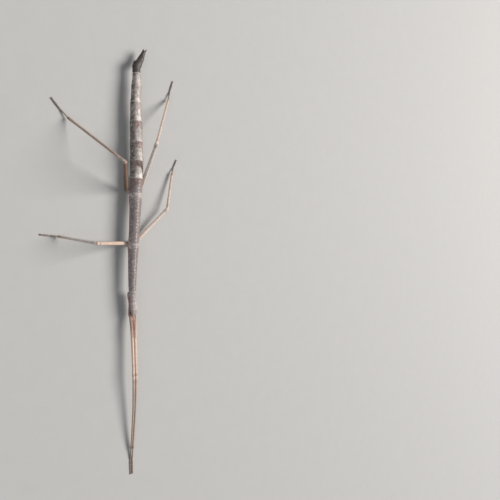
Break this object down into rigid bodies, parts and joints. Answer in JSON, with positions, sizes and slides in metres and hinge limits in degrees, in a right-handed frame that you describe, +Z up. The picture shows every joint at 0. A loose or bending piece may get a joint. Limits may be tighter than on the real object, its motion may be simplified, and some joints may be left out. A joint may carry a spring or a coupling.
{
  "type": "stick insect model",
  "caption": "Life-size still model of a slender wingless stick insect standing on its feet, forelegs stretched straight ahead",
  "frame": {"origin": "centre of the bounding box, on the floor that the feet stand on", "axes": "+Y from head to abdomen tip, +X towards the animal's left side, +Z up"},
  "size_m": [0.0497, 0.1498, 0.0179],
  "materials": {
    "cuticle": "matt, finely granular, pinkish brown with darker rings",
    "eye": "glossy, dark reddish brown",
    "antenna": "satin, reddish brown"
  },
  "bodies": {
    "root": {"head": "cuticle", "mouthparts": "cuticle", "eye_left": "eye", "eye_right": "eye", "antenna_left": "antenna", "antenna_right": "antenna", "prothorax": "cuticle", "mesothorax": "cuticle", "metathorax": "cuticle", "median_segment": "cuticle", "abdomen_2": "cuticle", "abdomen_3": "cuticle", "abdomen_4": "cuticle", "abdomen_5": "cuticle", "abdomen_6": "cuticle", "abdomen_7": "cuticle", "abdomen_8": "cuticle", "abdomen_9": "cuticle", "abdomen_10": "cuticle", "operculum": "cuticle", "cercus_left": "cuticle", "cercus_right": "cuticle", "fore_left_coxa": "cuticle", "fore_left_femur": "cuticle", "fore_left_tibia": "cuticle", "fore_left_tarsus": "cuticle", "fore_right_coxa": "cuticle", "fore_right_femur": "cuticle", "fore_right_tibia": "cuticle", "fore_right_tarsus": "cuticle", "mid_left_coxa": "cuticle", "mid_left_femur": "cuticle", "mid_left_tibia": "cuticle", "mid_left_tarsus": "cuticle", "mid_right_coxa": "cuticle", "mid_right_femur": "cuticle", "mid_right_tibia": "cuticle", "mid_right_tarsus": "cuticle", "hind_left_coxa": "cuticle", "hind_left_femur": "cuticle", "hind_left_tibia": "cuticle", "hind_left_tarsus": "cuticle", "hind_right_coxa": "cuticle", "hind_right_femur": "cuticle", "hind_right_tibia": "cuticle", "hind_right_tarsus": "cuticle"}
  },
  "joints": []
}
